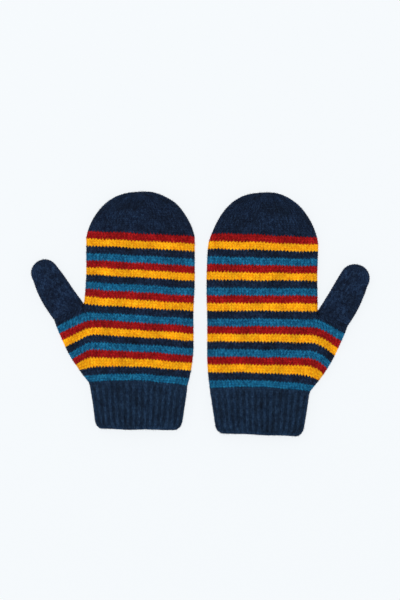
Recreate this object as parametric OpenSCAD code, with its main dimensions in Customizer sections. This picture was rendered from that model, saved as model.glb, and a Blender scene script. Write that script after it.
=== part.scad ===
// A pair of striped wool mittens, laid flat side by side.
//
// Every mitten is one knitted tube, worked from the cuff upwards, and each length of yarn
// that is knitted in is a node: the cast-on edge, the ribbed cuff, one band for each stripe,
// the crown and the thumb.  The fingertips and the thumb fold up about straight lines that
// lie just above the fabric, so the hinge lines are edges between bands.
//
// Units are millimetres.  +Y runs from the cuffs to the fingertips, +Z is up, and the origin
// is under the middle of the pair.  In lists of two, the left mitten comes first.

/* [Pair] */
// Gap between the straight edges of the two mittens
pair_gap = 12.3; // [4:0.1:60]
// How much lower the right mitten lies on the table
right_drop = 6.3; // [0:0.1:20]

/* [Fabric] */
// Thickness of the brushed wool fabric
fabric_t = 2.8; // [2:0.1:3]
// Height of the flattened tube at its rounded sides
side_h = 11; // [10:0.5:13]
// How much higher the middle of the tube is than its sides
puff = 2; // [0:0.5:4]

/* [Hand] */
// Width across the palm
palm_w = [114.2, 116.5]; // [105:0.1:122]
// Length from the edge of the cuff to the top of the crown
mitten_l = [251, 256.4]; // [250:0.1:262]
// Length of the round part of the crown
crown_l = [50, 58]; // [44:1:62]
// How far the crown leans over towards the thumb
crown_lean = [0, 2]; // [0:0.1:4]
// How far the lower palm stands back from the straight edge
palm_recess = [1.4, 0.7]; // [0:0.1:3]

/* [Cuff] */
// Length of the cuff along the straight edge
cuff_l = [46.7, 50.6]; // [42:0.1:54]
// Length of the cast-on edge
cast_on_l = 3.5; // [2:0.5:6]
// How far the top of the cuff is drawn in from the lower palm's straight edge
cuff_in = [6.1, 2.6]; // [0:0.1:10]
// Distance of the other side of the cuff's top from the straight edge
cuff_top_w = [111.6, 109.2]; // [106:0.1:114]
// How much narrower the hem is than the cuff's top, on each side
hem_in = [7.5, 7.6]; // [0:0.1:10]
// How much higher the thumb side of the hem lies than its straight side
hem_tilt = [1.2, -2.8]; // [-4:0.1:4]

/* [Stripes] */
// Times that the four colours repeat
repeats = 5; // [4:1:5]
// Height of one stripe
stripe_h = [7.86, 8.13]; // [7:0.01:8.2]
// How much higher the thumb side of the lowest stripe lies than its straight side
low_tilt = [3.6, -3.9]; // [-6:0.1:6]
// How much higher the thumb side of the top stripe lies than its straight side
high_tilt = [5.3, -4.2]; // [-8:0.1:8]
// Rise of the stripes where the thumb gusset draws them up
gusset_lift = [2.8, 3.5]; // [0:0.1:6]
// How evenly the stripes are spaced along the gusset's edge, less for crowding at its top
gusset_crowd = [0.8, 0.92]; // [0.7:0.01:1]
// Rise of the middle of the lowest stripe above its two ends
low_arch = [4.2, 3.4]; // [0:0.1:6]

/* [Thumb] */
// Distance of the thumb's root from the straight edge
thumb_root_u = [117.2, 117.4]; // [112:0.1:120]
// How far short of the thumb's root the stripes bend towards the gusset
kink_step = [6, 0.5]; // [0.5:0.1:7]
// Distance of the gusset's top from the straight edge
gusset_w = [148.2, 149.4]; // [144:0.1:152]
// Angle that the thumb leans out from the hand
thumb_lean = [32, 29]; // [20:1:40]
// Length of the thumb from its base line to the middle of its round tip
thumb_l = [47.7, 47.9]; // [40:0.1:52]
// Radius of the thumb's tip
thumb_tip_r = [14.6, 15.3]; // [13:0.1:17]
// How far the outer side of the thumb bulges
thumb_bulge = [2.4, 2.2]; // [0:0.1:4]

/* [Hinges] */
// Gap between two bands that belong to different moving bodies
hinge_gap = 0.3; // [0.2:0.1:1]
// Height of a hinge line above the thickest fabric
hinge_rise = 0.2; // [0.1:0.1:1]

/* [Hidden] */
SIDES = ["left", "right"];
YARNS = ["blue", "navy", "gold", "red"];
TINTS = ["#1b6a94", "#1d2a3c", "#eea413", "#93191c"];
NAVY = "#1e2c42";

// The stripe boundaries are counted from the cuff: 0 is the cuff's top, COUNT the crown's base.
COUNT = repeats * len(YARNS);
// Boundary that carries the thumb's base line
THUMB_K = 10;
// Boundary that the fingertips fold about
FOLD_K = 14;

SIDE_R = side_h / 2;
HINGE_Z = side_h + puff + hinge_rise;
// Segments of a cross-section: along the palm, along the wing of the gusset, and round a side
PALM_SEG = 4;
WING_SEG = 2;
ARC_SEG = 4;
// In a narrow section each rounded side takes at most this share of the width
END_ROUND = 0.4;
// Length of the rounded corners of the hem, and how far they draw in
HEM_ROUND = 9;
HEM_DRAW = 6.5;
// The waist above the cuff widens to the full palm over this length
WAIST_L = 40;
// The recess of the lower palm ends over RECESS_L, above this height
RECESS_V = 115;
RECESS_L = 40;
// The crown's lean starts at this height, and is complete LEAN_L above it
LEAN_V = 160;
LEAN_L = 60;
// The edge of the gusset is a cubic curve from the cuff's top to the thumb's base line
GUSSET_HANDLES = [[123, 62], [138, 84]];
GUSSET_TOP_V = 116;
// The stripes bend beside the thumb's root from this boundary upwards
KINK_K = 3;
// A path without a kink has its bend at this share of its length
PALM_SHARE = 0.75;
// The palm's corner beside the thumb stands back from the thumb's root by this much
ROOT_STEP = 2.5;
// The thumb's base starts this far along its base line, clear of the palm
THUMB_START = 1;
// The inner face of the crown ends this many fabric thicknesses below its top
CROWN_INSET = 1.3;
// Exponents of the crown's outline
CROWN_P = 1.5;
CROWN_Q = 0.42;
CROWN_SEG = 8;
THUMB_TUBE_SEG = 4;
THUMB_CAP_SEG = 5;
// The rounded ends stop at this share of their length, where a small flat face closes them
CROWN_END = 0.99;
THUMB_END = 0.97;
// The tube gets thinner towards a closed end by this share
END_THIN = 0.25;

function two(n) = n < 10 ? str("0", n) : str(n);
function yarn(i) = (i - 1) % len(YARNS);
function stripe_name(side, i) = str(side, "_stripe_", two(i), "_", YARNS[yarn(i)]);
function mitten_nodes(side) = concat(
    [str(side, "_cast_on_edge"), str(side, "_cuff")],
    [for (i = [1:COUNT]) stripe_name(side, i)],
    [str(side, "_crown"), str(side, "_thumb")]);

function clamp01(t) = max(0, min(1, t));
function smooth(t) = let (c = clamp01(t)) c * c * (3 - 2 * c);
function mix(a, b, t) = a + (b - a) * t;
function bezier(p, t) =
    p[0] * pow(1 - t, 3) + p[1] * 3 * t * pow(1 - t, 2) + p[2] * 3 * t * t * (1 - t) + p[3] * pow(t, 3);

// ---- Plan of a mitten, in (u, v): u from the straight edge towards the thumb, v from the hem ----

// Half the palm's width at height v, inside a fabric of the given inset
function half_w(m, v, inset) =
    let (w = palm_w[m] / 2 - inset,
         h = clamp01((v - mitten_l[m] + crown_l[m]) / (crown_l[m] - inset * CROWN_INSET)))
    inset + w * pow(1 - pow(h, CROWN_P), CROWN_Q);

// How far the straight edge stands in from u = 0, and how far the crown leans over
function waist(m, v) = cuff_in[m] * pow(1 - clamp01((v - cuff_l[m]) / WAIST_L), 2)
    + palm_recess[m] * smooth(1 - (v - RECESS_V) / RECESS_L);
function lean(m, v) = crown_lean[m] * smooth((v - LEAN_V) / LEAN_L);

// u of the straight edge, and of the palm's side above the thumb
function straight_u(m, v, inset = 0) = palm_w[m] / 2 - half_w(m, v, inset) + waist(m, v) + lean(m, v);
function palm_u(m, v, inset = 0) = palm_w[m] / 2 + half_w(m, v, inset) + lean(m, v);

// v of stripe boundary k at the straight edge and at the thumb side
function straight_v(m, k) = cuff_l[m] + stripe_h[m] * k;
function thumb_side_v(m, k) =
    straight_v(m, k) + mix(low_tilt[m], high_tilt[m], k / COUNT)
    + gusset_lift[m] * (k < 2 * THUMB_K ? sin(90 * k / THUMB_K) : 0);
function arch(m, k) = low_arch[m] * pow(1 - clamp01(k / THUMB_K), 2);

// The root of the thumb, the top of the gusset, and the outer end of boundary k on the gusset's edge
function root(m) = [thumb_root_u[m], thumb_side_v(m, THUMB_K)];
function gusset_top(m) = [gusset_w[m], GUSSET_TOP_V];
function gusset_end(m, k) =
    bezier([[cuff_top_w[m], thumb_side_v(m, 0)], GUSSET_HANDLES[0], GUSSET_HANDLES[1], gusset_top(m)],
           pow(k / THUMB_K, gusset_crowd[m]));

// A plan path is [start, bend, end, arch], and runs from the straight edge to the thumb side.
function gusset_path(m, k) =
    let (start = [straight_u(m, straight_v(m, k)), straight_v(m, k)], end = gusset_end(m, k),
         kink = [thumb_root_u[m] - (k < THUMB_K ? kink_step[m] : 0), thumb_side_v(m, k)])
    [start, mix(mix(start, end, PALM_SHARE), kink, clamp01(k / KINK_K)), end, arch(m, k)];
function straight_path(a, b) = [a, mix(a, b, PALM_SHARE), b, 0];
function palm_path(m, k, shift = 0) =
    let (va = straight_v(m, k) + shift, vb = thumb_side_v(m, k) + shift,
         ub = k == THUMB_K ? thumb_root_u[m] - ROOT_STEP : palm_u(m, vb))
    straight_path([straight_u(m, va), va], [ub, vb]);

// Cuff: v measured from the hem, with the hem's corners rounded
function hem_round(v) =
    let (t = clamp01(1 - v / HEM_ROUND)) HEM_DRAW * (1 - sqrt(1 - t * t));
function cuff_path(m, t) =
    let (la = t * straight_v(m, 0), lb = t * thumb_side_v(m, 0),
         va = la + max(-hem_tilt[m], 0) * (1 - t), vb = lb + max(hem_tilt[m], 0) * (1 - t),
         drawn = hem_in[m] * (1 - t))
    [[waist(m, 0) + drawn + hem_round(la), va],
     [mix(waist(m, 0), cuff_top_w[m], PALM_SHARE), mix(va, vb, PALM_SHARE)],
     [cuff_top_w[m] - drawn - hem_round(lb), vb], low_arch[m] * t * t];

// Crown: s runs from 0 at the top stripe to 1 at the very top
function crown_path(m, s, inset) =
    let (top = mitten_l[m] - inset * CROWN_INSET,
         va = mix(straight_v(m, COUNT), top, s), vb = mix(thumb_side_v(m, COUNT), top, s))
    straight_path([straight_u(m, va, inset), va], [palm_u(m, vb, inset), vb]);

// Thumb: a runs from 0 at the base line to thumb_l + thumb_tip_r at the tip
function base_dir(m) = let (d = gusset_top(m) - root(m)) d / norm(d);
function base_start(m) = root(m) + base_dir(m) * THUMB_START;
function base_normal(m) = [-base_dir(m)[1], base_dir(m)[0]];
function thumb_half_w(m, a, inset) =
    let (r = thumb_tip_r[m] - inset, base_w = norm(gusset_top(m) - base_start(m)) / 2 - inset,
         h = clamp01((a - thumb_l[m]) / r))
    inset + (a < thumb_l[m] ? mix(base_w, r, a / thumb_l[m]) : r * sqrt(1 - h * h));
function thumb_path(m, a, inset) =
    let (base_turn = atan2(base_dir(m)[1], base_dir(m)[0]),
         turn = mix(base_turn, -thumb_lean[m], clamp01(a / (thumb_l[m] / 2))),
         middle = (base_start(m) + gusset_top(m)) / 2 + base_normal(m) * hinge_gap
                  + [sin(thumb_lean[m]), cos(thumb_lean[m])] * a,
         across = [cos(turn), sin(turn)], bulge = thumb_bulge[m] * sin(180 * clamp01(a / thumb_l[m])))
    straight_path(middle - across * thumb_half_w(m, a, inset),
                  middle + across * (thumb_half_w(m, a, inset) + bulge));

// ---- Cross-sections ----

// Outline of the flattened tube round a path of length l whose bend is at b, as [d, z] points:
// flat underneath, round at both sides and slightly domed on top
function outline(l, b, inset, thin) =
    let (rh = min(SIDE_R, l * END_ROUND), rv = SIDE_R * thin, bend = min(b, l - rh - 1),
         stops = concat([for (i = [0:PALM_SEG - 1]) mix(rh, bend, i / PALM_SEG)],
                        [for (i = [0:WING_SEG]) mix(bend, l - rh, i / WING_SEG)]),
         last = len(stops) - 1)
    concat(
        [for (d = stops) [d, inset]],
        [for (i = [1:ARC_SEG - 1]) let (a = -90 + 180 * i / ARC_SEG)
            [l - rh + (rh - inset) * cos(a), rv + (rv - inset) * sin(a)]],
        [for (i = [last:-1:0]) let (d = stops[i], t = (2 * d - l) / (l - 2 * rh))
            [d, 2 * rv + puff * thin * (1 - t * t) - inset]],
        [for (i = [1:ARC_SEG - 1]) let (a = 90 + 180 * i / ARC_SEG)
            [rh + (rh - inset) * cos(a), rv + (rv - inset) * sin(a)]]);

// Point of a plan path at distance d from its start
function path_point(path, d) =
    let (la = norm(path[1] - path[0]), lb = norm(path[2] - path[1]), l = la + lb, t = d / l)
    (d < la ? mix(path[0], path[1], d / la) : mix(path[1], path[2], (d - la) / lb))
    + [0, path[3] * 4 * t * (1 - t)];

function section(path, inset = 0, thin = 1) =
    let (la = norm(path[1] - path[0]), l = la + norm(path[2] - path[1]))
    [for (p = outline(l, la, inset, thin))
        let (q = path_point(path, p[0])) [q[0], q[1], p[1]]];

// Sections of each closed end, outer or inner
function crown_sections(m, inset) =
    [for (i = [0:CROWN_SEG]) let (s = CROWN_END * sin(90 * i / CROWN_SEG))
        section(crown_path(m, s, inset), inset, 1 - END_THIN * pow(s, 4))];
function thumb_sections(m, inset) =
    let (tube = [for (i = [0:THUMB_TUBE_SEG - 1]) thumb_l[m] * i / THUMB_TUBE_SEG],
         cap = [for (i = [0:THUMB_CAP_SEG])
            thumb_l[m] + (thumb_tip_r[m] - inset) * THUMB_END * sin(90 * i / THUMB_CAP_SEG)])
    [for (a = concat(tube, cap))
        let (s = clamp01((a - thumb_l[m]) / thumb_tip_r[m]))
        section(thumb_path(m, a, inset), inset, 1 - END_THIN * pow(s, 2))];

// ---- Placing the pair ----

// All outer points that can reach the edge of the pair
function extent_points(m) = concat(
    [for (s = crown_sections(m, 0)) each s], [for (s = thumb_sections(m, 0)) each s],
    section(cuff_path(m, 0)), section(palm_path(m, FOLD_K)));
function side_x(m) = m == 0 ? -1 : 1;
function pair_point(m, p) =
    [side_x(m) * (pair_gap / 2 + p[0]), p[1] - (m == 0 ? 0 : right_drop), p[2]];
EXTENT = [for (m = [0, 1], p = extent_points(m)) pair_point(m, p)];
CENTRE = [for (i = [0, 1]) (min([for (p = EXTENT) p[i]]) + max([for (p = EXTENT) p[i]])) / 2];
function placed(m, p) = pair_point(m, p) - [CENTRE[0], CENTRE[1], 0];

// Hinge lines, as [point, point] in the pair's frame, for the record of joints
function fold_line(m) =
    let (path = palm_path(m, FOLD_K))
    [for (p = [path[0], path[2]]) placed(m, [p[0], p[1], HINGE_Z])];
function thumb_line(m) = [for (p = [root(m), gusset_top(m)]) placed(m, [p[0], p[1], HINGE_Z])];
for (m = [0, 1]) echo(side = SIDES[m], fold = fold_line(m), thumb = thumb_line(m));

// ---- Solids ----

function middle(points) = [for (i = [0:2]) sum([for (p = points) p[i]]) / len(points)];
function sum(v) = v * [for (x = v) 1];

// A tube of fabric between rows of outer and inner sections.  A closed one ends in a small face,
// which fans out from a point in its middle.
module tube(m, outer, inner, closed = false) {
    n = len(outer[0]);
    no = len(outer);
    ni = len(inner);
    tips = closed ? [middle(outer[no - 1]), middle(inner[ni - 1])] : [];
    tip = (no + ni) * n;
    points = [for (p = concat([for (s = concat(outer, inner)) each s], tips)) placed(m, p)];
    function o(j, i) = j * n + i % n;
    function q(j, i) = (no + j) * n + i % n;
    walls = concat(
        [for (j = [0:no - 2], i = [0:n - 1]) each
            [[o(j, i), o(j, i + 1), o(j + 1, i + 1)], [o(j, i), o(j + 1, i + 1), o(j + 1, i)]]],
        [for (j = [0:ni - 2], i = [0:n - 1]) each
            [[q(j, i), q(j + 1, i + 1), q(j, i + 1)], [q(j, i), q(j + 1, i), q(j + 1, i + 1)]]]);
    mouth = [for (i = [0:n - 1]) each
        [[o(0, i), q(0, i), q(0, i + 1)], [o(0, i), q(0, i + 1), o(0, i + 1)]]];
    far_end = closed
        ? [for (i = [0:n - 1]) each
            [[tip, o(no - 1, i), o(no - 1, i + 1)], [tip + 1, q(ni - 1, i + 1), q(ni - 1, i)]]]
        : [for (i = [0:n - 1]) each
            [[o(no - 1, i), q(ni - 1, i + 1), q(ni - 1, i)],
             [o(no - 1, i), o(no - 1, i + 1), q(ni - 1, i + 1)]]];
    faces = concat(walls, mouth, far_end);
    // The left mitten is mirrored, which turns its faces inside out
    polyhedron(points, side_x(m) > 0 ? faces : [for (f = faces) [for (i = [len(f) - 1:-1:0]) f[i]]]);
}

module band(m, paths) {
    tube(m, [for (p = paths) section(p)], [for (p = paths) section(p, fabric_t)]);
}

module cast_on_edge(m) {
    color(NAVY) band(m, [for (v = [0, cast_on_l / 3, cast_on_l]) cuff_path(m, v / cuff_l[m])]);
}

module cuff(m) {
    color(NAVY) band(m, [for (v = [cast_on_l, HEM_ROUND, cuff_l[m] / 2, cuff_l[m]])
        cuff_path(m, v / cuff_l[m])]);
}

// Stripe i lies between boundaries i - 1 and i
module stripe(m, i) {
    lift = i == FOLD_K + 1 ? hinge_gap : 0;
    color(TINTS[yarn(i)])
        if (i <= THUMB_K) band(m, [gusset_path(m, i - 1), gusset_path(m, i)]);
        else band(m, [palm_path(m, i - 1, lift), palm_path(m, i)]);
}

module crown(m) {
    color(NAVY) tube(m, crown_sections(m, 0), crown_sections(m, fabric_t), closed = true);
}

module thumb(m) {
    color(NAVY) tube(m, thumb_sections(m, 0), thumb_sections(m, fabric_t), closed = true);
}

module mitten(m) {
    side = SIDES[m];
    cast_on_edge(m);
    cuff(m);
    for (i = [1:COUNT])
        stripe(m, i);
    crown(m);
    thumb(m);
}

mitten(0);
mitten(1);
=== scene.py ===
import math

import bpy
import numpy as np
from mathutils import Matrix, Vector


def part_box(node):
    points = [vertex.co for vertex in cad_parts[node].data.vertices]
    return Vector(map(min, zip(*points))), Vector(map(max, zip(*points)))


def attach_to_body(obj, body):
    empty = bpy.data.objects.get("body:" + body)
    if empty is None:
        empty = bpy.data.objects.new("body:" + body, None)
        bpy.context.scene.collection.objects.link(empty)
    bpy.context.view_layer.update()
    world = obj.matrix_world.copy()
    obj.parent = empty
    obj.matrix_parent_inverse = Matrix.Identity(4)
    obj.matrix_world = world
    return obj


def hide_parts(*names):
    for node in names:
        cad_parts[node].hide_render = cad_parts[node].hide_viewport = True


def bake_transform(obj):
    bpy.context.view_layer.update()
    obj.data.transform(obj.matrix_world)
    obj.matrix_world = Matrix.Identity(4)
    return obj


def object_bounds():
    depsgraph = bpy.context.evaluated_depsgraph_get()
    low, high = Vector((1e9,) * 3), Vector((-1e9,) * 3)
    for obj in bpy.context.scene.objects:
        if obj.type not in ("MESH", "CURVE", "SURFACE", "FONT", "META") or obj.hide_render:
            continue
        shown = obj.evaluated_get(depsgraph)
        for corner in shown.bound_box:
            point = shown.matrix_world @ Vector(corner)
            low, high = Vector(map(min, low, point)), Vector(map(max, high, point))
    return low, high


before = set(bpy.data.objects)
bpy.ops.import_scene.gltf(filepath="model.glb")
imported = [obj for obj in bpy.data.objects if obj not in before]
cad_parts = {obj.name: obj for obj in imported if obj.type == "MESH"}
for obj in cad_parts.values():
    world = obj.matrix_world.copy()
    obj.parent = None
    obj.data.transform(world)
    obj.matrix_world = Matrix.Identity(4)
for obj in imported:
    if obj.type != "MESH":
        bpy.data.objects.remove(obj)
cad_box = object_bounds()

MM = 0.001
# A place in a grid stays this far below its size, so that it has a next cell
LAST_CELL = 1.001

# ---- Driving dimensions in millimetres, the same as in the CAD.  In pairs, the left mitten is first ----

SIDES = ("left", "right")
YARNS = ("blue", "navy", "gold", "red")
PAIRS = {
    "palm_w": (114.2, 116.5),
    "mitten_l": (251, 256.4),
    "crown_l": (50, 58),
    "crown_lean": (0, 2),
    "palm_recess": (1.4, 0.7),
    "cuff_l": (46.7, 50.6),
    "cuff_in": (6.1, 2.6),
    "cuff_top_w": (111.6, 109.2),
    "hem_in": (7.5, 7.6),
    "hem_tilt": (1.2, -2.8),
    "stripe_h": (7.86, 8.13),
    "low_tilt": (3.6, -3.9),
    "high_tilt": (5.3, -4.2),
    "gusset_lift": (2.8, 3.5),
    "gusset_crowd": (0.8, 0.92),
    "low_arch": (4.2, 3.4),
    "thumb_root_u": (117.2, 117.4),
    "kink_step": (6, 0.5),
    "gusset_w": (148.2, 149.4),
    "thumb_lean": (32, 29),
    "thumb_l": (47.7, 47.9),
    "thumb_tip_r": (14.6, 15.3),
    "thumb_bulge": (2.4, 2.2),
    # Length of the rounded corner where the lowest stripe bends towards the gusset
    "bend_round": (1.5, 14),
}
FABRIC_T = 2.8
SIDE_R = 5.5
PUFF = 2
CAST_ON_L = 3.5
COUNT = 20
THUMB_K = 10
FOLD_K = 14
HEM_ROUND = 9
HEM_DRAW = 6.5
WAIST_L = 40
RECESS_V = 115
RECESS_L = 40
LEAN_V = 160
LEAN_L = 60
GUSSET_HANDLES = ((123, 62), (138, 84))
GUSSET_TOP_V = 116
KINK_K = 3
PALM_SHARE = 0.75
CROWN_P = 1.5
CROWN_Q = 0.42
CROWN_INSET = 1.3
END_ROUND = 0.4

# ---- Shape of the tubes, in more detail than in the CAD ----

# Over this many stripes below the thumb's root the tube divides into palm and thumb
GROOVE_K = 2
# Over this many stripes above it the palm narrows, faster at first with a lower exponent
FLARE_K = 4
FLARE_EASE = 0.6
# Length of the rounded corner in the stripes at the thumb's root, and how late it reaches that length
BEND_ROUND = 12
BEND_EASE = 1.5
# A rounded corner takes at most this share of the path beyond it
CORNER_MAX = 0.9
# Least half height of a tube's inside
INNER_RISE = 0.15
# Least radius of a tube's round side
SIDE_R_MIN = 0.1
# Exponent of the spacing of the courses in the crown
CROWN_EASE = 1.7
# The thumb's courses turn to lie straight across it over this share of its length
THUMB_TURN = 0.6
# Exponent of the closed tips' side outline, and the share of a tip's length at its last course
TIP_POWER = 5
TIP_END = 0.985
# Steps along a path's straight or bent part, round a side of a cross-section, and across it
PATH_STEPS = 40
SIDE_STEPS = 14
FACE_STEPS = 60

# ---- Knitting ----

# Seeds of the left mitten's shape, with the right one's next to it, and of the stitches and fibres
SHAPE_SEED = 3
STITCH_SEED = 7
# Wales across one face of the palm, and of one rib with its valley
PALM_WALES = 34
RIB_WALES = 2
# Mesh columns in a wale, courses in a stripe, and mesh rows in a course
WALE_COLS = 6
COURSES = 3
COURSE_ROWS = 5
# Courses zigzag up and down by this much in every wale, which makes the Vs
ZIGZAG = 1.7
# It fades out over this much of the thumb's base, and over these parts of a stripe at the thumb's
# tip, the hem and the crown; round the cuff's top only this share is left
THUMB_FADE_L = 8
TIP_FADE_K = 1.5
HEM_FADE_K = 0.5
CROWN_FADE_K = 2
CUFF_FADE_K = 0.6
CUFF_ZIGZAG = 0.6
# Wales without a zigzag at the gusset's edge, and over which it fades beside the thumb's root
EDGE_WALES = 2
# Height of the stitches over the fabric, and of a rib over its valley
STITCH_H = 0.6
RIB_H = 1.4
# Half the width of a rib's flat top, and of the fall into its valley, in wales
RIB_FLAT = 0.3
RIB_FALL = 0.5
# Over these parts of a stripe the rib fades out at the cuff's top and at the cast-on edge
RIB_START = 0.7
RIB_END = 0.25
# How much the height of a stitch varies, by a table of this size
STITCH_VARY = 0.4
STITCH_TABLE = (400, 100)
# Widths of a wale at which the stitches have no height left, and at which they have all of it
CROWDED_W = (1, 2.2)
# The share of a rib's height that lies below the fabric's surface
RIB_LEVEL = 0.75
# Height of the felted surface, which is different at every point
FELT_H = 0.024
# Width of a wale in the yarn's own pattern, and how far that pattern shifts from stitch to stitch
WALE_W = 3.4
TONE_STEP = 3
# Heights across a wale and along a course
WALE_PROFILE = (0, 0.8, 1, 0.4, 1, 0.8)
COURSE_PROFILE = (0.2, 0.75, 1, 0.95, 0.65)
# Lowest height of the stitches that lie on the table, and how much of their relief is left there
REST_Z = 0.35
REST_SHARE = 0.35
# No mitten lies quite straight: its fabric drifts by this much across the hand, along it and upwards,
# in waves of these lengths
DRIFT = (0.2, 0.35, 0.6)
DRIFT_WAVES = (31, 47, 73)
# Stitch by stitch, the courses lie this much too high or too low, by a table of this size
UNEVEN = 0.3
UNEVEN_TABLE = 200
# Over this length where the yarn meets another yarn it is darker, with painted shade as in a groove
# between stripes
SEAM_L = 1.1
SEAM_SHADE_SHARE = 0.45
# Share of the relief value that a purled valley keeps, which paints shade into it, and the least relief
# value of the cast-on edge and the thumb, which get less of that painted shade and so look lighter and
# smoother than the rest
PURL_SHADE_SHARE = 0.1
LESS_SHADE_RELIEF = 0.65
# The inner face, which is in shadow: its relief value, its place in the yarn's pattern, and how many
# rows it has in a long piece
LINED_RELIEF = 0.4
LINING_TONE = 5
LINING_ROWS = 13
# The outer face draws in by this share of half the fabric's thickness at the cast-on edge
HEM_SOFT = 0.9
# Mesh rows beyond a piece's ends that its zigzag reaches into
EXTRA = 4

# Loose fibres of the brushed wool: how many stand on a square millimetre, their length, their rise
# over the stitches, their width, and how far they spread from lying along the hand
FIBRES = 1
FIBRE_L = (1.0, 2.8)
FIBRE_RISE = (0.1, 0.55)
FIBRE_W = 0.09
FIBRE_SPREAD = 0.55
# How far they curl sideways, and how much of the rise is left at the tip
FIBRE_CURL = 0.4
FIBRE_DROOP = 0.8
# How many times more of them stand on the outermost rows of a band
EDGE_FIBRES = 3
EDGE_ROWS = 2

# ---- Cloth: before it is knitted, each mitten is inflated a little as a closed skin ----

# Size of the skin's cells, frames that it moves for, and its pressure
VOXEL = 4.5
FRAMES = 20
PRESSURE = 0.35
# Rows and columns of the skin before its remeshing: along the hand, along the thumb, across a face
SKIN_ROWS = (60, 20)
SKIN_WALES = 5
# Part of the thumb's skin that is inside the hand
SKIN_OVERLAP = 6
# The movement is kept on a grid with this step, smoothed over this length
FIELD_STEP = 3
FIELD_BLUR = 4.5
FIELD_MARGIN = 4 * FIELD_BLUR
# Where few points of the skin lie, the movement fades to none by this weight
FIELD_EMPTY = 0.02
# Most that a point moves on the table, and up or down
MOVE_MAX = (0.25, 2.5)


def clamp01(t):
    return np.clip(t, 0, 1)


def mix(a, b, t):
    return a + (b - a) * t


def smooth(t):
    t = clamp01(t)
    return t * t * (3 - 2 * t)


def bezier(p, t):
    s = 1 - t
    return p[0] * s**3 + 3 * p[1] * t * s**2 + 3 * p[2] * t**2 * s + p[3] * t**3


def point(u, v):
    return np.array([u, v], float)


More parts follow.
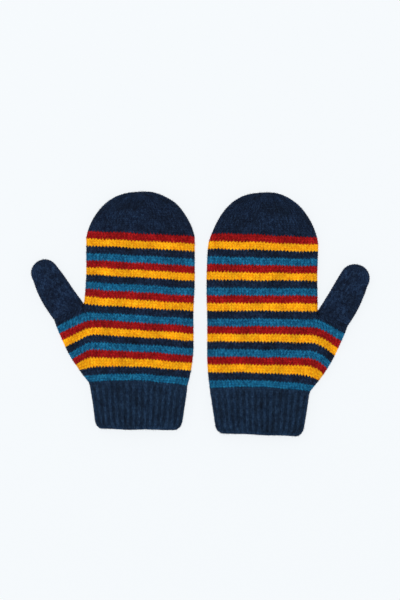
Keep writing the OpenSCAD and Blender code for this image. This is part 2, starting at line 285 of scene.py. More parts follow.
class Plan:
    """One mitten in (u, v): u from the straight edge towards the thumb, v from the hem.

    The height k counts stripe boundaries: 0 is the cuff's top, COUNT the crown's base."""

    def __init__(self, side):
        for name, pair in PAIRS.items():
            setattr(self, name, pair[SIDES.index(side)])
        self.side = side
        self.hem_k = -self.cuff_l / self.stripe_h
        crown_rise = self.mitten_l - self.straight_v(COUNT)
        self.top_k = COUNT + CROWN_EASE * crown_rise / self.stripe_h
        self.root = point(self.thumb_root_u, self.thumb_side_v(THUMB_K))
        self.gusset_top = point(self.gusset_w, GUSSET_TOP_V)
        reach = self.gusset_top - self.root
        self.base_w = float(np.hypot(*reach))
        self.base_turn = math.atan2(reach[1], reach[0])
        self.pitch = {k: self.palm_pitch(k) for k in (0, THUMB_K)}
        rng = np.random.default_rng(SHAPE_SEED + SIDES.index(side))
        self.drift_turns = rng.uniform(0, 2 * math.pi, (len(DRIFT_WAVES), 4))
        self.uneven = rng.uniform(-UNEVEN, UNEVEN, (UNEVEN_TABLE, UNEVEN_TABLE))
        self.moved = None

    def half_w(self, v, inset):
        h = clamp01((v - self.mitten_l + self.crown_l) / (self.crown_l - inset * CROWN_INSET))
        return inset + (self.palm_w / 2 - inset) * (1 - h**CROWN_P) ** CROWN_Q

    def waist(self, v):
        """How far the straight edge stands in from u = 0"""
        recess = self.palm_recess * smooth(1 - (v - RECESS_V) / RECESS_L)
        return self.cuff_in * (1 - clamp01((v - self.cuff_l) / WAIST_L)) ** 2 + recess

    def lean(self, v):
        return self.crown_lean * smooth((v - LEAN_V) / LEAN_L)

    def straight_u(self, v, inset=0):
        return self.palm_w / 2 - self.half_w(v, inset) + self.waist(v) + self.lean(v)

    def palm_u(self, v, inset=0):
        return self.palm_w / 2 + self.half_w(v, inset) + self.lean(v)

    def straight_v(self, k):
        return self.cuff_l + self.stripe_h * k

    def thumb_side_v(self, k):
        lift = math.sin(math.pi / 2 * k / THUMB_K) if k < 2 * THUMB_K else 0
        tilt = mix(self.low_tilt, self.high_tilt, k / COUNT)
        return self.straight_v(k) + tilt + self.gusset_lift * lift

    # Plan paths, as dense (u, v) points

    def cuff_path(self, k):
        t = 1 - k / self.hem_k
        la, lb = t * self.straight_v(0), t * self.thumb_side_v(0)
        va, vb = la + max(-self.hem_tilt, 0) * (1 - t), lb + max(self.hem_tilt, 0) * (1 - t)
        drawn = self.hem_in * (1 - t)
        waist = self.waist(0)
        start = point(waist + drawn + hem_round(la), va)
        bend = point(mix(waist, self.cuff_top_w, PALM_SHARE), mix(va, vb, PALM_SHARE))
        end = point(self.cuff_top_w - drawn - hem_round(lb), vb)
        return polyline(start, bend, end, self.low_arch * t * t)

    def gusset_path(self, k):
        va = self.straight_v(k)
        start = point(self.straight_u(va), va)
        corners = [point(self.cuff_top_w, self.thumb_side_v(0)), *map(np.array, GUSSET_HANDLES)]
        end = bezier([*corners, self.gusset_top], (k / THUMB_K) ** self.gusset_crowd)
        near = smooth((k - THUMB_K + GROOVE_K) / GROOVE_K)
        kink = point(self.thumb_root_u - self.kink_step * (1 - near), self.thumb_side_v(k))
        bend = mix(mix(start, end, PALM_SHARE), kink, clamp01(k / KINK_K))
        arch = self.low_arch * (1 - k / THUMB_K) ** 2
        corner = mix(self.bend_round, BEND_ROUND, (k / THUMB_K) ** BEND_EASE) * (1 - near)
        return polyline(start, bend, end, arch, corner)

    def palm_path(self, k):
        va, vb = self.straight_v(k), self.thumb_side_v(k)
        ub = mix(self.thumb_root_u, self.palm_u(vb), clamp01((k - THUMB_K) / FLARE_K) ** FLARE_EASE)
        return polyline(point(self.straight_u(va), va), None, point(ub, vb))

    def crown_share(self, k):
        """How far up the crown height k lies, from 0 to 1"""
        return 1 - (1 - clamp01((k - COUNT) / (self.top_k - COUNT))) ** CROWN_EASE

    def crown_path(self, k, inset):
        top = self.mitten_l - inset * CROWN_INSET
        s = self.crown_share(k)
        va, vb = mix(self.straight_v(COUNT), top, s), mix(self.thumb_side_v(COUNT), top, s)
        start = point(self.straight_u(va, inset), va)
        return polyline(start, None, point(self.palm_u(vb, inset), vb))

    def thumb_path(self, a, turned, inset):
        """Across the thumb, at distance a from its base line"""
        r = self.thumb_tip_r - inset
        half = r * math.cos(turned)
        if a < self.thumb_l:
            half = mix(self.base_w / 2 - inset, r, a / self.thumb_l)
        lean = math.radians(self.thumb_lean)
        turn = mix(self.base_turn, -lean, smooth(a / (self.thumb_l * THUMB_TURN)))
        middle = (self.root + self.gusset_top) / 2 + point(math.sin(lean), math.cos(lean)) * a
        across = point(math.cos(turn), math.sin(turn))
        bulge = self.thumb_bulge * math.sin(math.pi * clamp01(a / self.thumb_l))
        return polyline(middle - across * (inset + half), None, middle + across * (inset + half + bulge))

    def body_sheets(self, k, inset):
        """Both sheets of the hand's tube at height k"""
        if k <= 0:
            return sheets(self.cuff_path(k), inset)
        if k <= THUMB_K:
            pinch = smooth((k - THUMB_K + GROOVE_K) / GROOVE_K)
            return sheets(self.gusset_path(k), inset, split=self.thumb_root_u, pinch=pinch)
        if k <= COUNT:
            return sheets(self.palm_path(k), inset)
        thin = math.sqrt(max(0, 1 - self.crown_share(k) ** TIP_POWER))
        return sheets(self.crown_path(k, inset), inset, thin)

    def thumb_sheets(self, x, inset):
        """Both sheets of the thumb's tube at distance x over its surface from the base line"""
        r = self.thumb_tip_r - inset
        turned = clamp01((x - self.thumb_l) / (r * math.pi / 2)) * math.pi / 2
        a = min(x, self.thumb_l) + r * math.sin(turned)
        thin = math.sqrt(max(0, 1 - math.sin(turned) ** TIP_POWER))
        return sheets(self.thumb_path(a, turned, inset), inset, thin)

    def crown_end(self):
        """Height of the crown's last course"""
        return mix(COUNT, self.top_k, TIP_END)

    def thumb_end(self):
        """Distance of the thumb's last course over its surface from the base line"""
        return TIP_END * (self.thumb_l + self.thumb_tip_r * math.pi / 2)

    def laid(self, points):
        """Points of the fabric with the drift of a mitten that isn't laid down perfectly, and with its
        movement as cloth"""
        move = self.moved.at(points[..., 0], points[..., 1]) if self.moved else np.zeros(points.shape)
        for wave, (turn, *phases) in zip(DRIFT_WAVES, self.drift_turns):
            along = points[..., 0] * math.cos(turn) + points[..., 1] * math.sin(turn)
            for i, phase in enumerate(phases):
                move[..., i] += DRIFT[i] / 2 * np.sin(2 * math.pi * along / wave + phase)
        move[..., 2] *= smooth(points[..., 2] / (2 * SIDE_R))
        return points + move

    def palm_pitch(self, k):
        """Width of a wale of the palm at height k, in each sheet"""
        both = self.body_sheets(0, 0) if k == 0 else sheets(self.palm_path(k), 0)
        return [arc_length(sheet)[-1] / PALM_WALES for sheet in both]


def hem_round(v):
    t = clamp01(1 - v / HEM_ROUND)
    return HEM_DRAW * (1 - math.sqrt(1 - t * t))


def polyline(start, bend, end, arch=0.0, corner=0.0):
    """Dense points along a path from start to end, with a rounded corner at bend and an arch"""
    t = np.linspace(0, 1, PATH_STEPS)[:, None]
    if bend is None:
        path = mix(start, end, t)
    else:
        a = bend + (start - bend) * corner / np.hypot(*(start - bend))
        b = bend + (end - bend) * min(corner / np.hypot(*(end - bend)), CORNER_MAX)
        turn = mix(mix(a, bend, t), mix(bend, b, t), t)
        path = np.vstack([mix(start, a, t)[:-1], turn, mix(b, end, t)[1:]])
    share = arc_length(path)
    share = share / share[-1]
    path[:, 1] += arch * 4 * share * (1 - share)
    return path


def arc_length(points):
    steps = np.sqrt((np.diff(points, axis=0) ** 2).sum(axis=1))
    return np.append(0, np.cumsum(steps))


def height(d, a, b, inset, thin, up):
    """Height at distance d of a flattened tube between a and b: round sides, and a dome on top"""
    rh, rv = min(SIDE_R, (b - a) * END_ROUND), SIDE_R * thin
    t = 1 - clamp01((np.minimum(d - a, b - d) - inset) / max(rh - inset, SIDE_R_MIN))
    rise = np.sqrt(1 - t * t) * max(rv - inset, INNER_RISE * thin)
    dome = PUFF * thin * clamp01(1 - ((2 * d - a - b) / (b - a - 2 * rh)) ** 2)
    return SIDE_R + rise + dome if up else SIDE_R - rise


def stations(a, b, inset):
    """Distances between a and b at which a section is measured, close together at its round sides"""
    side = max(min(SIDE_R, (b - a) * END_ROUND) - inset, SIDE_R_MIN)
    arc = inset + side * (1 - np.cos(np.linspace(0, math.pi / 2, SIDE_STEPS)))
    face = np.linspace(a + arc[-1], b - arc[-1], FACE_STEPS)
    return np.concatenate([a + arc[:-1], face, b - arc[-2::-1]])


def sheets(path, inset, thin=1.0, split=None, pinch=0.0):
    """The upper and lower sheet of a flattened tube round a path, each as (u, v, z) points from the
    fold at the straight edge to the fold at the thumb side.  A tube that divides is pinched at the
    place where its u is split."""
    along = arc_length(path)
    length = along[-1]
    if pinch:
        cut = float(np.interp(split, path[:, 0], along))
        d = np.concatenate([stations(0, cut, inset), stations(cut, length, inset)])
    else:
        d = stations(0, length, inset)
    result = []
    for up in (True, False):
        z = height(d, 0, length, inset, thin, up)
        if pinch:
            parts = height(d, 0, cut, inset, thin, up), height(d, cut, length, inset, thin, up)
            z = mix(z, np.where(d < cut, *parts), pinch)
        u, v = np.interp(d, along, path[:, 0]), np.interp(d, along, path[:, 1])
        result.append(np.column_stack([u, v, z]))
    return result


def at_wales(sheet, wales, count, pitch=None):
    """Points of a sheet at the given wales.  Without a pitch the wales fill it evenly; with one, only
    the last wale stretches to the fold."""
    s = arc_length(sheet)
    if pitch is None:
        target = wales * (s[-1] / count)
    else:
        last = (count - 1) * pitch
        target = np.where(wales <= count - 1, wales * pitch, last + (wales - count + 1) * (s[-1] - last))
    points = np.column_stack([np.interp(target, s, sheet[:, i]) for i in range(3)])
    return points, s[-1] - target


def ring_wales(count):
    """Wales at the mesh columns of each sheet of a ring"""
    step = 1 / WALE_COLS
    return np.arange(0, count + step / 2, step), np.arange(count - step, step / 2, -step)


def body_ring(plan, k, count, inset, gusset):
    """One row round the hand's tube, and how far each point is from the thumb-side fold.  A band that
    starts above the thumb's root has no part in the gusset."""
    palm_only = not gusset and k <= THUMB_K
    both = sheets(plan.palm_path(k), inset) if palm_only else plan.body_sheets(k, inset)
    rows, rests = [], []
    for i, wales in enumerate(ring_wales(count)):
        if k > THUMB_K and count > PALM_WALES:
            # The palm goes on, and the thumb's wales stay at the gusset's top
            palm = wales <= PALM_WALES
            top = plan.body_sheets(THUMB_K, inset)
            parts = [at_wales(both[i], wales[palm], PALM_WALES),
                     at_wales(top[i], wales[~palm], count, plan.pitch[THUMB_K][i])]
            points, rest = zip(*(parts if i == 0 else parts[::-1]))
            rows += points
            rests += rest
            continue
        pitch = None
        if 0 < k <= THUMB_K and not palm_only:
            pitch = mix(plan.pitch[0][i], plan.pitch[THUMB_K][i], smooth(k / THUMB_K))
        points, rest = at_wales(both[i], wales, count, pitch)
        rows.append(points)
        rests.append(rest)
    return np.vstack(rows), np.concatenate(rests)


def thumb_ring(plan, x, count, inset):
    """One row round the thumb's tube, all of it far from the gusset's fold"""
    both = zip(plan.thumb_sheets(x, inset), ring_wales(count))
    points = np.vstack([at_wales(sheet, wales, count)[0] for sheet, wales in both])
    return points, np.full(len(points), np.inf)


def shear_rows(grid, shift):
    """Moves every point of a grid along its column by shift rows"""
    rows = np.arange(grid.shape[0])[:, None]
    place = np.clip(rows + shift, 0, grid.shape[0] - LAST_CELL)
    low = place.astype(int)
    part = (place - low)[..., None]
    columns = np.arange(grid.shape[1])[None, :]
    return mix(grid[low, columns], grid[low + 1, columns], part)


def unit(v):
    return v / np.maximum(np.linalg.norm(v, axis=-1, keepdims=True), 1e-9)


def grid_normals(grid):
    across = np.roll(grid, -1, axis=1) - np.roll(grid, 1, axis=1)
    return unit(np.cross(across, np.gradient(grid, axis=0)))


def zigzag(wales):
    """Height of the Vs, from -0.5 in the middle of a wale to 0.5 between two wales"""
    return np.abs(2 * (wales % 1) - 1) - 0.5


def unevenness(plan, k, wales):
    """How much too high every point of the knitting lies, from the nearest stitches"""
    total = 0
    course = (k - plan.hem_k) * COURSES
    for i in (0, 1):
        for j in (0, 1):
            row, column = course.astype(int) + i, wales.astype(int) + j
            weight = (1 - np.abs(course - row)) * (1 - np.abs(wales - column))
            total = total + weight * plan.uneven[row % UNEVEN_TABLE, column % UNEVEN_TABLE]
    return total


def stitch_relief(wales, courses, purl):
    """Height of the stitches, from 0 to 1: two legs in every wale, or bars where they are purled"""
    column = np.interp(wales % 1, np.arange(WALE_COLS + 1) / WALE_COLS, WALE_PROFILE + (WALE_PROFILE[0],))
    phases = np.arange(COURSE_ROWS + 1) / COURSE_ROWS
    row = np.interp(courses % 1, phases, COURSE_PROFILE + (COURSE_PROFILE[0],))
    return mix(column * row, row, purl)


def rib_profile(wales):
    """1 on a knitted wale, 0 in the purled valley beside it"""
    off = np.abs((wales + RIB_WALES / 4) % RIB_WALES - RIB_WALES / 2)
    return 1 - smooth((off - RIB_FLAT) / RIB_FALL)


class Piece:
    """One band of yarn between two heights, with the wales in one of its sheets"""

    def __init__(self, name, plan, k0, k1, count, thumb=False):
        self.name, self.plan, self.count, self.thumb = name, plan, count, thumb
        self.k0, self.k1 = k0, k1

    def rows(self):
        """Heights of its mesh rows"""
        count = max(2, round((self.k1 - self.k0) * COURSES * COURSE_ROWS))
        return np.linspace(self.k0, self.k1, count + 1)

    def ring(self, k, inset):
        """One row round its tube, and how far each point is from the thumb-side fold"""
        if self.thumb:
            return thumb_ring(self.plan, k * self.plan.stripe_h, self.count, inset)
        return body_ring(self.plan, k, self.count, inset, self.k0 < THUMB_K)


def knit(piece, rng):
    """Outer grid of a piece with its stitches, their relief, and each point's place in the knitting"""
    plan = piece.plan
    rows = piece.rows()
    step = rows[1] - rows[0]
    lead = EXTRA if not piece.thumb and piece.k0 > plan.hem_k else 0
    tail = EXTRA if piece.k1 <= COUNT and not piece.thumb else 0
    before, after = step * np.arange(lead, 0, -1), step * np.arange(1, tail + 1)
    ks = np.concatenate([rows[0] - before, rows, rows[-1] + after])
    keep = slice(lead, len(ks) - tail)
    rings = [piece.ring(k, 0 if piece.thumb else hem_inset(plan, k)) for k in ks]
    grid = plan.laid(np.array([points for points, _ in rings]))
    rest = np.array([distance for _, distance in rings])
    wales = np.concatenate(ring_wales(piece.count))[None, :] + 0 * ks[:, None]
    kk = ks[:, None] + 0 * wales

    # The courses zigzag up and down
    fade = zigzag_fade(piece, kk, wales, rest)
    swing = (ZIGZAG * zigzag(wales) + unevenness(plan, kk, wales)) / plan.stripe_h * fade
    grid = shear_rows(grid, swing / step)
    normals = grid_normals(grid)

    # The stitches stand out from the fabric, each a little differently, and the ribs from their valleys
    rib, rib_here = 1 + 0 * wales, 0 * wales
    if piece.k0 < 0:
        rib = rib_profile(wales)
        rib_here = smooth(-kk / RIB_START) * smooth((kk - plan.hem_k) / RIB_END)
    relief = stitch_relief(wales, kk * COURSES, (1 - rib) * rib_here)
    table = rng.random(STITCH_TABLE)
    near = table[(kk * COURSES).astype(int) % len(table), wales.astype(int) % len(table[0])]
    lift = STITCH_H * (relief - 0.5) * (1 + STITCH_VARY * (near - 0.5)) * pitch_share(grid)
    lift += rib_here * RIB_H * (rib - RIB_LEVEL)
    lift += FELT_H * rng.standard_normal(lift.shape)
    grid = grid + normals * lift[..., None]

    # They are pressed flat where they lie on the table
    low = np.minimum(grid[..., 2] - REST_Z, 0)
    grid[..., 2] -= low * (1 - REST_SHARE)

    # The relief paints shade into the valleys and the seams, and the place carries the yarn's own pattern
    relief *= mix(PURL_SHADE_SHARE, 1, mix(1, rib, rib_here))
    seam = np.minimum(kk - piece.k0, piece.k1 - kk) * plan.stripe_h / SEAM_L
    relief *= mix(SEAM_SHADE_SHARE, 1, smooth(seam))
    if piece.thumb or piece.k0 == plan.hem_k:
        relief = mix(LESS_SHADE_RELIEF, 1, relief)
    knit_at = np.stack([wales * WALE_W, kk * plan.stripe_h, TONE_STEP * near], axis=2)
    return grid[keep], relief[keep], knit_at[keep]


def fibres(grid, knit_at, rng):
    """Loose fibres on a piece's outer face: three points along each, its side, and the place in the
    knitting that it grows from"""
    across = np.roll(grid, -1, axis=1) - grid
    along = np.diff(grid, axis=0)
    area = np.linalg.norm(np.cross(across[:-1], along), axis=2)
    # More of them where the colour changes
    from_end = np.minimum(np.arange(len(area)), np.arange(len(area))[::-1])
    area = area * np.where(from_end < EDGE_ROWS, EDGE_FIBRES, 1)[:, None]
    count = int(area.sum() * FIBRES)
    cells = rng.choice(area.size, count, p=area.ravel() / area.sum())
    row, column = np.divmod(cells, grid.shape[1])
    s, t = rng.random((2, count, 1))
    root = grid[row, column] + s * across[row, column] + t * along[row, column]
    e1, e2 = unit(across[row, column]), unit(along[row, column])
    up = unit(np.cross(e1, e2))
    lie = unit(e1 * rng.standard_normal((count, 1)) * FIBRE_SPREAD + e2 * rng.standard_normal((count, 1)))
    reach = lie * rng.uniform(*FIBRE_L, (count, 1))
    rise = up * rng.uniform(*FIBRE_RISE, (count, 1))
    curl = np.cross(up, lie) * rng.uniform(-FIBRE_CURL, FIBRE_CURL, (count, 1))
    middle = root + reach / 2 + rise + curl
    tip = root + reach + rise * FIBRE_DROOP
    side = unit(np.cross(up, lie)) * FIBRE_W / 2
    return (root, middle, tip), side, knit_at[row, column]


def ribbons(line, side, first):
    """Points and faces of a narrow ribbon along each fibre, which ends in a point"""
    root, middle, tip = line
    points = np.stack([root - side, root + side, middle + side, middle - side, tip], axis=1)
    points[..., 2] = np.maximum(points[..., 2], FIBRE_W)
    base = first + 5 * np.arange(len(root))[:, None]
    return points, base + np.arange(4), base + np.array([3, 2, 4])


def hem_inset(plan, k):
    """How far the outer face draws in where the cast-on edge is rounded"""
    r = FABRIC_T / 2
    t = clamp01(1 - (k - plan.hem_k) * plan.stripe_h / r)
    return r * (1 - math.sqrt(1 - t * t)) * HEM_SOFT


def pitch_share(grid):
    """1 where the wales have their full width, less where they crowd together"""
    across = np.linalg.norm(np.roll(grid, -1, axis=1) - np.roll(grid, 1, axis=1), axis=2) / 2
    return smooth((across * WALE_COLS - CROWDED_W[0]) / (CROWDED_W[1] - CROWDED_W[0]))


def zigzag_fade(piece, k, wales, rest):
    """Share of the zigzag that is left near the ends of a mitten and of its thumb, at the cuff's top,
    at the gusset's edge, where wales begin, and at the thumb's root"""
    plan = piece.plan
    if piece.thumb:
        return smooth(k * plan.stripe_h / THUMB_FADE_L) * smooth((piece.k1 - k) / TIP_FADE_K)
    fade = smooth((k - plan.hem_k) / HEM_FADE_K) * smooth((plan.top_k - k) / CROWN_FADE_K)
    fade = fade * mix(1, CUFF_ZIGZAG, smooth(1 - np.abs(k) / CUFF_FADE_K))
    gusset = (k > 0) & (k < THUMB_K)
    pitch = mix(plan.pitch[0][0], plan.pitch[THUMB_K][0], smooth(k / THUMB_K))
    fade = np.where(gusset, fade * clamp01(rest / pitch - EDGE_WALES), fade)
    near = smooth(1 - np.abs(k - THUMB_K))
    return fade * mix(1, clamp01((PALM_WALES - wales) / EDGE_WALES), near)


def lining(piece):
    """Inner grid of a piece, with few rows"""
    ks = np.linspace(piece.k0, piece.k1, LINING_ROWS if piece.k1 - piece.k0 > 2 else 3)
    return piece.plan.laid(np.array([piece.ring(k, FABRIC_T)[0] for k in ks]))


# ---- Running a mitten as cloth ----


class Field:
    """Movement of the fabric over a mitten's plan, as a smooth grid"""

    def __init__(self, start, move):
        self.low = start[:, :2].min(axis=0) - FIELD_MARGIN
        shape = np.ceil((start[:, :2].max(axis=0) + FIELD_MARGIN - self.low) / FIELD_STEP).astype(int)
        cells = tuple(np.round((start[:, :2] - self.low) / FIELD_STEP).astype(int).T)
        grids = []
        for i, keep in ((0, start[:, 2] > 0), (1, start[:, 2] > 0), (2, start[:, 2] > SIDE_R)):
            total, weight = np.zeros(shape + 1), np.zeros(shape + 1)
            np.add.at(total, cells, move[:, i] * keep)
            np.add.at(weight, cells, keep * 1.0)
            grids.append(blurred(total) / (blurred(weight) + FIELD_EMPTY))
        self.grid = np.stack(grids, axis=2)

    def at(self, u, v):
        x, y = (u - self.low[0]) / FIELD_STEP, (v - self.low[1]) / FIELD_STEP
        x, y = (np.clip(a, 0, n - LAST_CELL) for a, n in zip((x, y), self.grid.shape))
        i, j = x.astype(int), y.astype(int)
        s, t = (x - i)[..., None], (y - j)[..., None]
        g = self.grid
        return mix(mix(g[i, j], g[i + 1, j], s), mix(g[i, j + 1], g[i + 1, j + 1], s), t)


def blurred(grid):
    reach = int(3 * FIELD_BLUR / FIELD_STEP)
    kernel = np.exp(-0.5 * (np.arange(-reach, reach + 1) * FIELD_STEP / FIELD_BLUR) ** 2)
    kernel /= kernel.sum()
    for axis in (0, 1):
        grid = np.apply_along_axis(np.convolve, axis, grid, kernel, mode="same")
    return grid


def skin(plan):
    """A coarse closed skin of the hand and the thumb, in metres in the mitten's plan"""
    points, quads, tris, first = [], [], [], 0
    hand = np.linspace(plan.hem_k, plan.crown_end(), SKIN_ROWS[0])
    thumb = np.linspace(-SKIN_OVERLAP, plan.thumb_end(), SKIN_ROWS[1])
    for tube in ([plan.body_sheets(k, 0) for k in hand], [plan.thumb_sheets(x, 0) for x in thumb]):
        rings = [np.vstack([at_wales(sheet, wales, SKIN_WALES)[0]
                            for sheet, wales in zip(both, ring_wales(SKIN_WALES))]) for both in tube]
        columns = len(rings[0])
        quads.append(ring_faces(first, len(rings), columns))
        for row, turn in ((0, -1), (len(rings) - 1, 1)):
            q, t = tip_faces(first + row * columns, columns)
            quads.append(q[:, ::turn])
            tris.append(t[:, ::turn])
        points += rings
        first += len(rings) * columns
    mesh = bpy.data.meshes.new("skin")
    faces = np.vstack(quads).tolist() + np.vstack(tris).tolist()
    mesh.from_pydata((np.vstack(points) * MM).tolist(), [], faces)
    obj = bpy.data.objects.new("skin", mesh)
    bpy.context.scene.collection.objects.link(obj)
    return obj


def evaluated_mesh(obj):
    return bpy.data.meshes.new_from_object(obj.evaluated_get(bpy.context.evaluated_depsgraph_get()))


def mesh_points(mesh):
    points = np.empty(len(mesh.vertices) * 3, np.float32)
    mesh.vertices.foreach_get("co", points)
    return points.reshape(-1, 3) / MM


def inflate(plan):
    """Runs a mitten's skin as cloth, and keeps how far it moved"""
    scene = bpy.context.scene
    rough = skin(plan)
    voxels = rough.modifiers.new("voxels", "REMESH")
    voxels.mode = "VOXEL"
    voxels.voxel_size = VOXEL * MM
    obj = bpy.data.objects.new("cloth", evaluated_mesh(rough))
    scene.collection.objects.link(obj)
    bpy.data.objects.remove(rough)
    cloth = obj.modifiers.new("cloth", "CLOTH")
    cloth.settings.use_pressure = True
    cloth.settings.uniform_pressure_force = PRESSURE
    cloth.settings.effector_weights.gravity = 0
    cloth.point_cache.frame_start = 1
    cloth.point_cache.frame_end = FRAMES
    start = mesh_points(obj.data)
    for number in range(1, FRAMES + 1):
        scene.frame_set(number)
    move = mesh_points(evaluated_mesh(obj)) - start
    scene.frame_set(1)
    bpy.data.objects.remove(obj)
    most = np.array([MOVE_MAX[0], MOVE_MAX[0], MOVE_MAX[1]])
    return Field(start, most * np.tanh(move / most))


# ---- Meshes ----


def ring_faces(first, rows, columns):
    r, c = np.meshgrid(np.arange(rows - 1), np.arange(columns), indexing="ij")
    a = first + r * columns + c
    b = first + r * columns + (c + 1) % columns
    return np.stack([a, b, b + columns, a + columns], axis=-1).reshape(-1, 4)


def rim_faces(outer, inner, columns):
    c = np.arange(columns)
    d = (c + 1) % columns
    return np.stack([outer + c, inner + c, inner + d, outer + d], axis=-1)


def tip_faces(first, columns):
    """Closes a flattened ring along its length"""
    half = columns // 2
    j = np.arange(1, half - 1)
    quads = np.stack([j, j + 1, columns - j - 1, columns - j], axis=-1) + first
    tris = np.array([[0, 1, columns - 1], [half - 1, half, half + 1]]) + first
    return quads, tris


def build(name, outer, inner, hairs, closed, mirrored, soft_mouth=False):
    """A closed mesh from an outer and an inner grid of points, with loose fibres on it"""
    rows, columns = outer.shape[:2]
    inner_first = rows * columns
    inner_last = inner_first + (inner.shape[0] - 1) * columns
    outer_last = (rows - 1) * columns
    quads = [ring_faces(0, rows, columns), ring_faces(inner_first, inner.shape[0], columns)[:, ::-1]]
    quads.append(rim_faces(0, inner_first, columns))
    tris = np.zeros((0, 3), int)
    rims = [] if soft_mouth else [0, inner_first]
    if closed:
        for first, turn in ((outer_last, 1), (inner_last, -1)):
            q, t = tip_faces(first, columns)
            quads.append(q[:, ::turn])
            tris = np.vstack([tris, t[:, ::turn]])
    else:
        quads.append(rim_faces(outer_last, inner_last, columns)[:, ::-1])
        rims += [outer_last, inner_last]
    loose, hair_quads, hair_tris = hairs
    quads, tris = np.vstack([*quads, hair_quads]), np.vstack([tris, hair_tris])
    if mirrored:
        quads, tris = quads[:, ::-1], tris[:, ::-1]
    points = np.concatenate([outer.reshape(-1, 3), inner.reshape(-1, 3), loose.reshape(-1, 3)])
    mesh = bpy.data.meshes.new(name)
    mesh.vertices.add(len(points))
    mesh.vertices.foreach_set("co", points.astype(np.float32).ravel())
    corners = np.concatenate([quads.ravel(), tris.ravel()]).astype(np.int32)
    starts = np.concatenate([np.arange(len(quads)) * 4, len(quads) * 4 + np.arange(len(tris)) * 3])
    mesh.loops.add(len(corners))
    mesh.loops.foreach_set("vertex_index", corners)
    mesh.polygons.add(len(starts))
    mesh.polygons.foreach_set("loop_start", starts.astype(np.int32))
    mesh.update(calc_edges=True)
    mesh.shade_smooth()
    mark_sharp(mesh, rims, columns)
    obj = bpy.data.objects.new(name, mesh)
    bpy.context.scene.collection.objects.link(obj)
    return obj


def mark_sharp(mesh, rims, columns):
    """The edges round each rim divide the shading of the fabric's faces from its cut"""
    ends = np.zeros(len(mesh.edges) * 2, np.int32)
    mesh.edges.foreach_get("vertices", ends)
    ends = ends.reshape(-1, 2)
    sharp = np.zeros(len(ends), bool)
    for first in rims:
        inside = (ends >= first) & (ends < first + columns)
        sharp |= inside.all(axis=1)
    mesh.attributes.new("sharp_edge", "BOOLEAN", "EDGE").data.foreach_set("value", sharp)


def to_frame(plan, points):
    """From a mitten's plan to the frame, in metres"""
    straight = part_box(f"{plan.side}_stripe_14_navy")
    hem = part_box(f"{plan.side}_cast_on_edge")[0].y
    result = points * MM
    if plan.side == "left":
        result[..., 0] = straight[1].x - result[..., 0]
    else:
        result[..., 0] = straight[0].x + result[..., 0]
    result[..., 1] += hem
    return result


# ---- Materials ----


def make_material(name, base, light, dark, mottle, patch, relief_shades=(0.5, 1.25)):
    """Wool yarn: mottled along its fibres, in lighter and darker patches, with painted shade between the
    stitches
    """
    material = bpy.data.materials.new(name)
    material.use_nodes = True
    nodes, links = material.node_tree.nodes, material.node_tree.links
    shader = nodes["Principled BSDF"]
    shader.inputs["Roughness"].default_value = 0.92
    shader.inputs["Specular IOR Level"].default_value = 0.15
    shader.inputs["Sheen Weight"].default_value = 0.07
    shader.inputs["Sheen Roughness"].default_value = 0.5
    shader.inputs["Sheen Tint"].default_value = (*light, 1)

    place = nodes.new("ShaderNodeAttribute")
    place.attribute_name = "knit"
    relief = nodes.new("ShaderNodeAttribute")
    relief.attribute_name = "relief"

    fibre_map = nodes.new("ShaderNodeMapping")
    fibre_map.inputs["Scale"].default_value = (1.4, 0.9, 1)
    links.new(place.outputs["Vector"], fibre_map.inputs["Vector"])
    fibres = nodes.new("ShaderNodeTexNoise")
    fibres.inputs["Scale"].default_value = 0.33
    fibres.inputs["Detail"].default_value = 5
    fibres.inputs["Roughness"].default_value = 0.75
    links.new(fibre_map.outputs["Vector"], fibres.inputs["Vector"])
    tone = nodes.new("ShaderNodeValToRGB")
    tone.color_ramp.elements[0].position = 0.5 - mottle
    tone.color_ramp.elements[0].color = (*dark, 1)
    tone.color_ramp.elements[1].position = 0.5 + mottle
    tone.color_ramp.elements[1].color = (*light, 1)
    middle = tone.color_ramp.elements.new(0.5)
    middle.color = (*base, 1)
    links.new(fibres.outputs["Fac"], tone.inputs["Fac"])

    patches = nodes.new("ShaderNodeTexNoise")
    patches.inputs["Scale"].default_value = 0.06
    patches.inputs["Detail"].default_value = 3
    links.new(place.outputs["Vector"], patches.inputs["Vector"])
    patch_range = nodes.new("ShaderNodeMapRange")
    patch_range.inputs["From Min"].default_value = 0.3
    patch_range.inputs["From Max"].default_value = 0.7
    patch_range.inputs["To Min"].default_value = 1 - patch
    patch_range.inputs["To Max"].default_value = 1 + patch
    links.new(patches.outputs["Fac"], patch_range.inputs["Value"])

    # Painted shade: the colour is darkest where the relief is lowest, between the stitches, and lightest
    # on their tops
    relief_shade = nodes.new("ShaderNodeMapRange")
    relief_shade.inputs["To Min"].default_value, relief_shade.inputs["To Max"].default_value = relief_shades
    links.new(relief.outputs["Fac"], relief_shade.inputs["Value"])
    shade = nodes.new("ShaderNodeMath")
    shade.operation = "MULTIPLY"
    links.new(patch_range.outputs["Result"], shade.inputs[0])
    links.new(relief_shade.outputs["Result"], shade.inputs[1])
    colour = nodes.new("ShaderNodeVectorMath")
    colour.operation = "SCALE"
    links.new(tone.outputs["Color"], colour.inputs[0])
    links.new(shade.outputs["Value"], colour.inputs["Scale"])
    links.new(colour.outputs["Vector"], shader.inputs["Base Color"])

    fuzz = nodes.new("ShaderNodeTexNoise")
    fuzz.inputs["Scale"].default_value = 4.5
    fuzz.inputs["Detail"].default_value = 4
    links.new(place.outputs["Vector"], fuzz.inputs["Vector"])
    bump = nodes.new("ShaderNodeBump")
    bump.inputs["Strength"].default_value = 0.5
    bump.inputs["Distance"].default_value = 0.0003
    links.new(fuzz.outputs["Fac"], bump.inputs["Height"])
    links.new(bump.outputs["Normal"], shader.inputs["Normal"])
    return material
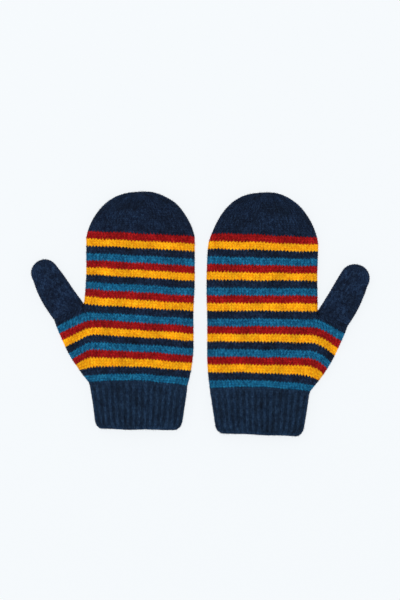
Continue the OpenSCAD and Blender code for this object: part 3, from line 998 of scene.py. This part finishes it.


# Shades of each yarn, the half width of its noise ramp (more is smoother), how much its patches vary,
# and the shares of its colour that the painted shade leaves at the bottom and at the top of its stitches
WOOLS = {
    "wool_navy": {
        "base": (0.0042, 0.012, 0.033), "light": (0.0135, 0.032, 0.073), "dark": (0.0005, 0.003, 0.012),
        "mottle": 0.14, "patch": 0.42},
    "wool_navy_rib": {
        "base": (0.0072, 0.0225, 0.053), "light": (0.02, 0.048, 0.1), "dark": (0.001, 0.007, 0.023),
        "mottle": 0.16, "patch": 0.3},
    "wool_blue": {
        "base": (0.004, 0.105, 0.225), "light": (0.014, 0.19, 0.35), "dark": (0.001, 0.05, 0.12),
        "mottle": 0.1, "patch": 0.2},
    "wool_gold": {
        "base": (0.94, 0.395, 0.002), "light": (0.99, 0.52, 0.008), "dark": (0.75, 0.255, 0.001),
        "mottle": 0.1, "patch": 0.2, "relief_shades": (0.68, 1.12)},
    "wool_red": {
        "base": (0.3, 0.0025, 0.0035), "light": (0.42, 0.01, 0.01), "dark": (0.17, 0.001, 0.002),
        "mottle": 0.1, "patch": 0.2},
}


# ---- The pair ----


def mitten_pieces(plan):
    """Every band of yarn of a mitten with its material"""
    side = plan.side
    cast_on_k = plan.hem_k + CAST_ON_L / plan.stripe_h
    pieces = [(Piece(f"{side}_cast_on_edge", plan, plan.hem_k, cast_on_k, PALM_WALES), "wool_navy_rib"),
              (Piece(f"{side}_cuff", plan, cast_on_k, 0, PALM_WALES), "wool_navy_rib")]
    for i in range(1, COUNT + 1):
        yarn = YARNS[(i - 1) % len(YARNS)]
        count = gusset_wales(plan, i - 1) if i <= THUMB_K else PALM_WALES
        pieces.append((Piece(f"{side}_stripe_{i:02}_{yarn}", plan, i - 1, i, count), "wool_" + yarn))
        if i == THUMB_K:
            thumb_wales = count - PALM_WALES
    crown = Piece(f"{side}_crown", plan, COUNT, plan.crown_end(), PALM_WALES)
    thumb = Piece(f"{side}_thumb", plan, 0, plan.thumb_end() / plan.stripe_h, thumb_wales, thumb=True)
    return pieces + [(crown, "wool_navy"), (thumb, "wool_navy")]


def gusset_wales(plan, k):
    """Whole wales that fit in a sheet just above boundary k"""
    if k == 0:
        return PALM_WALES
    pitch = mix(plan.pitch[0][0], plan.pitch[THUMB_K][0], smooth(k / THUMB_K))
    return max(PALM_WALES, int(arc_length(plan.body_sheets(k, 0)[0])[-1] / pitch + 0.01))


def stripe_number(name):
    """Number of a stripe by its name, or 0 for another piece"""
    return int(name.split("_")[2]) if "_stripe_" in name else 0


def body_of(side, name):
    """Body of a piece that lies clear of the folds"""
    fingers = name.endswith("_crown") or stripe_number(name) > FOLD_K
    return side + ("_fingers" if fingers else "_hand")


# Half the length of the fabric round the fingertips' fold, and the stripes on either side of the fold
# that ride on no body
FOLD_REACH = 14.5
FOLD_STRIPES = 2


def attach(obj, plan, name):
    """Ties a piece to the frame: it rides on a body, or keeps its place in the frame at the thumb and
    near a fold
    """
    side = plan.side
    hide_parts(name)
    if name.endswith("_thumb"):
        start, normal = middle_of_line(plan, plan.root, plan.gusset_top)
        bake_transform(obj)
        return
    stripe = stripe_number(name)
    if FOLD_K - FOLD_STRIPES < stripe <= FOLD_K + FOLD_STRIPES:
        path = plan.palm_path(FOLD_K)
        middle, normal = middle_of_line(plan, path[0], path[-1])
        normal *= FOLD_REACH * MM
        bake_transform(obj)
        return
    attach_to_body(obj, body_of(side, name))


def middle_of_line(plan, a, b):
    """Middle of a line across the hand, and the direction from it towards the fingertips, in the frame"""
    run = (b - a) / np.hypot(*(b - a))
    sign = -1 if plan.side == "left" else 1
    return to_frame(plan, np.append((a + b) / 2, SIDE_R)), np.array([-sign * run[1], run[0], 0])


def make_piece(piece, slot, materials, rng):
    """Knits one band of yarn: its outer and inner face, its loose fibres, its material and its place"""
    plan = piece.plan
    outer, relief, knit_at = knit(piece, rng)
    inner = lining(piece)
    line, side, grown_at = fibres(outer, knit_at, rng)
    loose, hair_quads, hair_tris = ribbons(line, side, (len(outer) + len(inner)) * outer.shape[1])
    hairs = to_frame(plan, loose), hair_quads, hair_tris
    closed = piece.thumb or piece.name.endswith("_crown")
    soft_mouth = piece.name.endswith("_cast_on_edge")
    obj = build(piece.name + "_knit", to_frame(plan, outer), to_frame(plan, inner), hairs, closed,
                plan.side == "left", soft_mouth)

    # The material paints shade from the relief, and reads the place in the knitting that each point
    # belongs to
    reliefs = relief, np.full(inner.shape[:2], LINED_RELIEF), np.ones(loose.shape[:2])
    columns = knit_at[:1, :, 0] + 0 * inner[..., 0]
    inside = np.stack([columns, inner[..., 1], columns * 0 + LINING_TONE], axis=2)
    places = knit_at, inside, np.repeat(grown_at[:, None], loose.shape[1], axis=1)
    add_attribute(obj.data, "relief", "FLOAT", "value", reliefs)
    add_attribute(obj.data, "knit", "FLOAT_VECTOR", "vector", places)
    obj.data.materials.append(materials[slot])
    attach(obj, plan, piece.name)


def add_attribute(mesh, name, kind, field, parts):
    """Gives the points of a mesh a value each, part by part"""
    values = np.concatenate([part.ravel() for part in parts]).astype(np.float32)
    mesh.attributes.new(name, kind, "POINT").data.foreach_set(field, values)


def make_pair():
    materials = {name: make_material(name, **look) for name, look in WOOLS.items()}
    rng = np.random.default_rng(STITCH_SEED)
    for side in SIDES:
        plan = Plan(side)
        plan.moved = inflate(plan)
        for piece, slot in mitten_pieces(plan):
            make_piece(piece, slot, materials, rng)


# ---- Stage, light and camera ----


def make_floor():
    mesh = bpy.data.meshes.new("floor")
    half = 12
    corners = [(-half, -half, 0), (half, -half, 0), (half, half, 0), (-half, half, 0)]
    mesh.from_pydata(corners, [], [(0, 1, 2, 3)])
    floor = bpy.data.objects.new("floor", mesh)
    bpy.context.scene.collection.objects.link(floor)
    material = bpy.data.materials.new("pale_paper")
    material.use_nodes = True
    shader = material.node_tree.nodes["Principled BSDF"]
    shader.inputs["Base Color"].default_value = (0.08, 0.08, 0.08, 1)
    shader.inputs["Roughness"].default_value = 0.9
    shader.inputs["Specular IOR Level"].default_value = 0
    shader.inputs["Emission Color"].default_value = (0.93, 0.966, 0.994, 1)
    shader.inputs["Emission Strength"].default_value = 0.893
    mesh.materials.append(material)


def make_light():
    world = bpy.data.worlds.new("studio")
    bpy.context.scene.world = world
    world.use_nodes = True
    background = world.node_tree.nodes["Background"]
    background.inputs["Color"].default_value = (0.97, 0.985, 1, 1)
    background.inputs["Strength"].default_value = 1.0
    lamp = bpy.data.lights.new("softbox", "AREA")
    lamp.shape = "SQUARE"
    lamp.size = 1.5
    lamp.energy = 8.5
    softbox = bpy.data.objects.new("softbox", lamp)
    softbox.location = (-0.6, 0.9, 1.6)
    softbox.rotation_euler = Vector(softbox.location).to_track_quat("Z", "Y").to_euler()
    bpy.context.scene.collection.objects.link(softbox)


def make_camera():
    """Looks straight down on the pair, which lies a little below the middle of the picture"""
    lens, sensor = 80, 36
    view_h = 0.6316
    off_centre = Vector((-0.0003, 0.0146, 0))
    aim = (Vector(cad_box[0]) + Vector(cad_box[1])) / 2 + off_centre
    camera_data = bpy.data.cameras.new("camera")
    camera_data.lens = lens
    camera_data.sensor_width = sensor
    camera_data.sensor_fit = "AUTO"
    camera_data.clip_end = 50
    camera = bpy.data.objects.new("camera", camera_data)
    camera.location = (aim.x, aim.y, aim.z + view_h * lens / sensor)
    bpy.context.scene.collection.objects.link(camera)
    bpy.context.scene.camera = camera
    bpy.context.scene.view_settings.view_transform = "Standard"


make_camera()
make_light()
make_floor()
make_pair()
